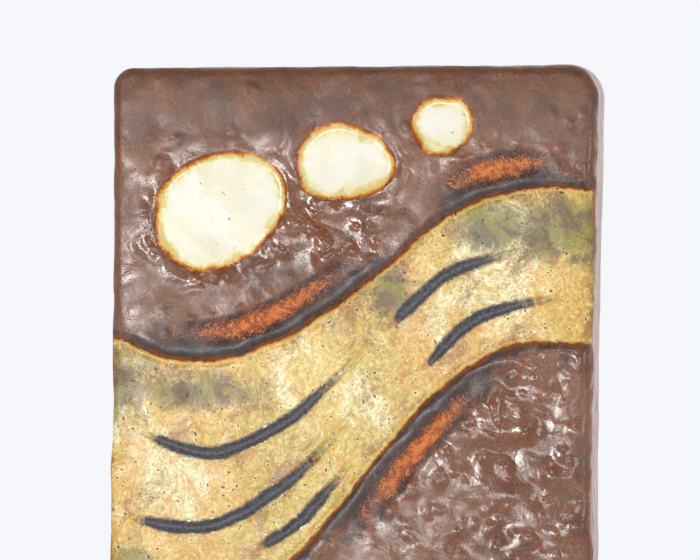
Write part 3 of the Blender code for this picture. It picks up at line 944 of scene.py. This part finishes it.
def pinholes(s, size, seed, chance, dark_radius):
    """Scattered pinholes of the glaze: the hole and the pale ring round it."""
    far, own = s.cells(size, seed)
    parts = s.make("SeparateColor", {"Color": own})
    chosen = s.step(parts.outputs["Red"], 1 - chance, 1.001 - chance)
    radius = s.times(s.between(parts.outputs["Green"], 0.35, 1.0), dark_radius / size)
    ratio = s.joined("DIVIDE", far, radius)
    hole = s.times(s.step(ratio, 0.65, 1.15, 1.0, 0.0), chosen)
    ring = s.times(s.band(ratio, 0.9, 1.3, 1.5, 2.6), chosen)
    return hole, ring


def ochre_glaze(s, depth, smoke, core):
    """Colour, roughness and bump of the ochre glaze, with its pinholes, its carved lines and painted
    glints beside them.
    """
    fan = (1, 1, 0.42)
    deep = s.step(s.noise(19, 20, fan, 24, 6, 0.68), 0.38, 0.62)
    colour = s.blend(deep, rgb(222, 190, 106), rgb(206, 160, 74))
    green = s.step(s.noise(34, 21, (1, 1, 0.6), -14, 6, 0.62), 0.42, 0.6)
    colour = s.over(colour, (196, 180, 84), green, 0.75)
    pink = s.step(s.noise(20, 22, fan, 31, 7, 0.64), 0.51, 0.64)
    colour = s.over(colour, (232, 206, 138), pink, 0.6)
    mint = s.blend(s.step(s.noise(24, 19, detail=3), 0.42, 0.58), rgb(222, 230, 182), rgb(238, 232, 190))
    pale = s.step(s.noise(28, 23, (1, 1, 0.5), 24, 8, 0.66), 0.515, 0.600)
    colour = s.blend(s.times(pale, 0.85), colour, mint)
    finger = s.step(s.noise(11, 18, (1, 1, 0.3), 12, 6, 0.66), 0.54, 0.64)
    colour = s.over(colour, (212, 158, 80), finger, 0.75)
    curl = s.band(s.noise(2.7, 24, rough=0.6, bend=0.6), 0.455, 0.485, 0.5, 0.53)
    curled = s.step(s.noise(14, 25, detail=3), 0.38, 0.58)
    colour = s.over(colour, (204, 150, 72), curl, curled, 0.6)
    mottle = s.noise(1.5, 27, detail=5, rough=0.8)
    colour = s.over(colour, (248, 242, 188), s.step(mottle, 0.54, 0.63), 0.4)
    colour = s.over(colour, (176, 124, 58), s.step(mottle, 0.52, 0.41), 0.62)
    grain = s.swing(s.noise(1.1, 17, rough=0.75), 0.45)
    smudge = s.add(s.noise(19, 26, (1, 1, 0.6), -27, 7, 0.68), s.times(grain, 0.3))
    colour = s.over(colour, (148, 100, 50), s.step(smudge, 0.51, 0.62), 0.8)

    haze = s.add(smoke, s.swing(s.noise(9, 28, detail=7, rough=0.72), 0.95), grain)
    haze = s.step(haze, 0.2, 0.9)
    murk = s.blend(s.step(s.noise(8, 29, detail=5), 0.44, 0.58), rgb(84, 68, 54), rgb(122, 118, 56))
    colour = s.blend(s.times(haze, 0.85), colour, murk)

    rim = s.add(s.step(depth, -3.2, -0.1), s.swing(s.noise(3.4, 30, detail=5, rough=0.65), 0.9))
    colour = s.over(colour, (210, 154, 64), s.step(rim, 0.45, 1.05), 0.75)
    scorched = s.times(s.step(depth, -0.9, -0.1), s.step(s.noise(5, 31), 0.38, 0.56))
    colour = s.over(colour, (150, 84, 34), scorched, 0.85)

    hole, ring = pinholes(s, 4.2, 1, 0.75, 0.58)
    many, pale_rings = pinholes(s, 1.9, 2, 0.75, 0.44)
    crowded = s.step(s.noise(22, 32, detail=3), 0.36, 0.52, 0.4, 1.0)
    clear = s.step(haze, 0.6, 0.0, 0.05, 0.3)
    colour = s.over(colour, (248, 236, 186), s.joined("MAXIMUM", ring, pale_rings), clear)
    colour = s.over(colour, (94, 60, 28), many, crowded, 0.9)
    colour = s.over(colour, (72, 46, 24), hole, 0.9)

    edge = s.add(core, s.swing(s.noise(2.4, 33, detail=5, rough=0.7), 0.62))
    stain = s.step(edge, 0.02, 0.4)
    colour = s.over(colour, (120, 116, 84), stain, s.step(core, 0.0, 0.15), 0.55)
    specks = s.times(s.band(edge, 0.15, 0.35, 0.5, 0.7), s.step(s.noise(2.6, 34, detail=3), 0.54, 0.62))
    ink = s.step(edge, 0.34, 0.72)
    chalky = s.step(s.noise(0.7, 35, rough=0.7), 0.38, 0.66)
    slate = s.blend(chalky, rgb(54, 52, 56), rgb(104, 102, 108))
    colour = s.blend(ink, colour, slate)
    colour = s.over(colour, (146, 72, 36), specks, 0.85)
    # Painted highlights: near-white glints along the edges of the carved lines, where their burrs would
    # catch the light.
    bare = s.times(s.band(edge, 0.05, 0.2, 0.42, 0.6), s.step(s.noise(1.5, 38), 0.54, 0.6),
                   s.step(s.noise(16, 39, detail=3), 0.5, 0.6), s.step(core, 0.12, 0.4))
    colour = s.over(colour, (240, 238, 232), bare)

    roughness = s.between(s.step(s.noise(9, 36), 0.35, 0.65), 0.32, 0.48)
    roughness = s.between(ink, roughness, 0.55)
    height = s.add(
        s.times(s.noise(2.2, 37, detail=3), 0.09),
        s.times(mottle, 0.035),
        s.times(hole, -0.25),
        s.times(many, crowded, -0.12),
        s.times(ring, 0.04),
    )
    return colour, roughness, height


def cream_glaze(s, stone):
    """Colour and bump of the cream stones, which turn yellow at their edges."""
    colour = s.blend(s.step(s.noise(14, 40), 0.4, 0.64), rgb(228, 225, 212), rgb(224, 220, 197))
    cloud = s.step(s.noise(10, 41, (1, 1, 0.6), 20), 0.52, 0.68)
    colour = s.over(colour, (209, 206, 174), cloud, 0.45)
    rim = s.add(stone, s.swing(s.noise(9, 42, detail=3), 4.6),
                s.swing(s.noise(1.2, 44, rough=0.7), 1.6))
    colour = s.over(colour, (218, 211, 156), s.step(rim, 5.0, 1.4), 0.75)
    colour = s.over(colour, (204, 176, 96), s.step(rim, 2.8, 0.8), 0.8)
    hole, ring = pinholes(s, 3.6, 3, 0.5, 0.4)
    colour = s.over(colour, (226, 214, 150), ring, 0.3)
    colour = s.over(colour, (122, 96, 40), hole, 0.75)
    height = s.add(s.times(s.noise(5, 43, detail=2), 0.1), s.times(hole, -0.12))
    return colour, height


def face_material():
    """The glazed face and walls: ochre below, brown on the raised fields, cream in the stones."""
    s = Shader("glazed stoneware")
    ragged = s.add(s.swing(s.noise(4.5, 50, detail=3), 0.9), s.swing(s.noise(1.1, 51, detail=3), 0.55))
    depth = s.add(s.measure("rim_depth"), ragged)
    stone = s.add(s.measure("stone_depth"), s.swing(s.noise(6.5, 52, detail=3), 2.2),
                  s.swing(s.noise(1.3, 53, detail=3), 0.9))
    brown, brown_rough, brown_height = brown_glaze(s, depth, stone)
    ochre, ochre_rough, ochre_height = ochre_glaze(s, depth, s.measure("smoke"), s.measure("line_core"))
    cream, cream_height = cream_glaze(s, stone)

    raised = s.step(depth, -0.25, 0.15)
    colour = s.blend(raised, ochre, brown)
    roughness = s.between(raised, ochre_rough, brown_rough)
    height = s.between(raised, ochre_height, brown_height)

    halo = s.times(s.step(stone, -1.7, -0.6), raised)
    fringe = s.blend(s.step(stone, -1.0, 0.1), rgb(126, 60, 22), rgb(206, 126, 34))
    fringe = s.over(fringe, (216, 178, 88), s.step(stone, -0.2, 0.6))
    colour = s.blend(halo, colour, fringe)
    paint = s.times(s.step(stone, 0.0, 0.8), raised)
    colour = s.blend(paint, colour, cream)
    roughness = s.between(s.times(s.step(stone, -0.8, 0.2), raised), roughness, 0.17)
    height = s.between(s.times(s.step(stone, -0.5, 0.8), raised), height, cream_height)

    out = s.add(s.measure("from_edge"), s.swing(s.noise(4, 60), 1.6),
                s.swing(s.noise(1.4, 61, detail=3), 0.6))
    chafed = s.add(out, s.swing(s.noise(5, 62, detail=5, rough=0.7), 3.2))
    worn = s.times(s.band(chafed, -4.6, -3.7, -3.1, -2.3), s.step(s.noise(10, 66), 0.36, 0.54))
    colour = s.over(colour, (158, 84, 40), worn, 0.75)
    dull = s.times(s.step(out, 0.5, -1.5), s.step(s.noise(7, 67), 0.42, 0.58))
    roughness = s.between(dull, roughness, 0.6)
    ragged_end = s.add(out, s.swing(s.noise(12, 65), 3.6))
    wall = s.step(ragged_end, -4.2, -6.0)
    # The walls' colour is partly their thin glaze and partly painted light: pale pink as a side lit from
    # the right looks, on every wall alike.
    streak = s.noise(7, 63, (1, 3.0, 0.2))
    wall_glaze_and_painted_light = s.blend(s.step(streak, 0.36, 0.66), rgb(200, 168, 158), rgb(226, 204, 200))
    stained = s.step(s.noise(12, 64, detail=5), 0.54, 0.7)
    wall_glaze_and_painted_light = s.over(wall_glaze_and_painted_light, (116, 66, 44), stained, 0.7)
    colour = s.blend(wall, colour, wall_glaze_and_painted_light)
    roughness = s.between(wall, roughness, 0.46)
    return s.finish(colour, roughness, height)


def clay_material():
    """Bare fired clay: buff with darker clouds, faint wiping marks, grog and iron specks."""
    s = Shader("bare clay")
    flush = s.step(s.noise(45, 70, detail=6, rough=0.6), 0.34, 0.68)
    colour = s.blend(flush, rgb(198, 170, 140), rgb(184, 150, 118))
    wiped = s.noise(9, 71, (0.35, 1, 1.2), 23, detail=5)
    colour = s.over(colour, (208, 184, 156), s.step(wiped, 0.46, 0.7), 0.22)
    grog = s.cells(1.5, 72)[0]
    colour = s.over(colour, (110, 80, 58), s.step(grog, 0.26, 0.1), 0.7)
    specks = s.cells(4.5, 73)[0]
    colour = s.over(colour, (72, 46, 34), s.step(specks, 0.12, 0.06), 0.8)
    height = s.add(s.times(s.noise(0.8, 74, rough=0.7), 0.1), s.times(wiped, 0.1))
    return s.finish(colour, s.step(s.noise(3, 75, detail=3), 0.3, 0.7, 0.72, 0.9), height)


def floor():
    """A pale floor that the plaque stands over."""
    level = -PLAQUE_HEIGHT / 2 - FLOOR_BELOW
    corners = [(x * FLOOR_HALF, y * FLOOR_HALF, level) for x, y in ((-1, -1), (1, -1), (1, 1), (-1, 1))]
    mesh = bpy.data.meshes.new("floor")
    mesh.from_pydata(corners, [], [(0, 1, 2, 3)])
    mesh.materials.append(Shader("pale floor").finish(rgb(240, 241, 243), 0.7))
    added("floor", mesh)


def surround():
    """A dim room, near-white behind the plaque and wherever the camera sees past it."""
    world = bpy.data.worlds.new("studio")
    bpy.context.scene.world = world
    world.use_nodes = True
    s = Nodes(world.node_tree)
    way = s.make("TexCoord").outputs["Generated"]
    back = s.make("SeparateXYZ", {"Vector": way}).outputs["Y"]
    behind = s.make("MapRange", {"Value": back, "From Min": -0.05, "From Max": 0.35}).outputs[0]
    seen = s.make("LightPath").outputs["Is Camera Ray"]
    share = s.make("Math", {0: behind, 1: seen}, operation="MAXIMUM").outputs[0]
    room = s.make("Background", {"Color": (0.93, 0.96, 1.0, 1.0), "Strength": ROOM_STRENGTH})
    backdrop = s.make("Background", {"Color": rgb(245, 247, 251)})
    mix = s.make("MixShader", {0: share, 1: room.outputs[0], 2: backdrop.outputs[0]})
    s.put(s.tree.nodes["World Output"].inputs["Surface"], mix.outputs[0])


def turned_towards(place, target):
    """The rotation of a lamp or camera that looks from a place to a target."""
    return (Vector(target) - Vector(place)).to_track_quat("-Z", "Y")


def soft_lights():
    """The panels of the studio."""
    for name, (place, width, height, watts, colour) in LIGHTS.items():
        light = bpy.data.lights.new(name, "AREA")
        light.shape = "RECTANGLE"
        light.size, light.size_y = width, height
        light.energy = watts
        light.color = colour
        lamp = added(name, light)
        lamp.location = place
        lamp.rotation_euler = turned_towards(place, LIT_POINT).to_euler()


def photographed_from():
    """The camera, turned by the tilt of the photograph."""
    camera = bpy.data.cameras.new("camera")
    camera.lens = CAMERA_LENS
    eye = added("camera", camera)
    eye.location = CAMERA_AT
    roll = Matrix.Rotation(math.radians(CAMERA_ROLL), 3, "Z")
    eye.rotation_euler = (turned_towards(CAMERA_AT, CAMERA_AIM).to_matrix() @ roll).to_euler()
    bpy.context.scene.camera = eye


def main():
    piece = plaque()
    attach(piece, "root")
    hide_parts("stoneware_plaque")
    floor()
    surround()
    soft_lights()
    photographed_from()
    bpy.context.scene.view_settings.view_transform = "Standard"


main()
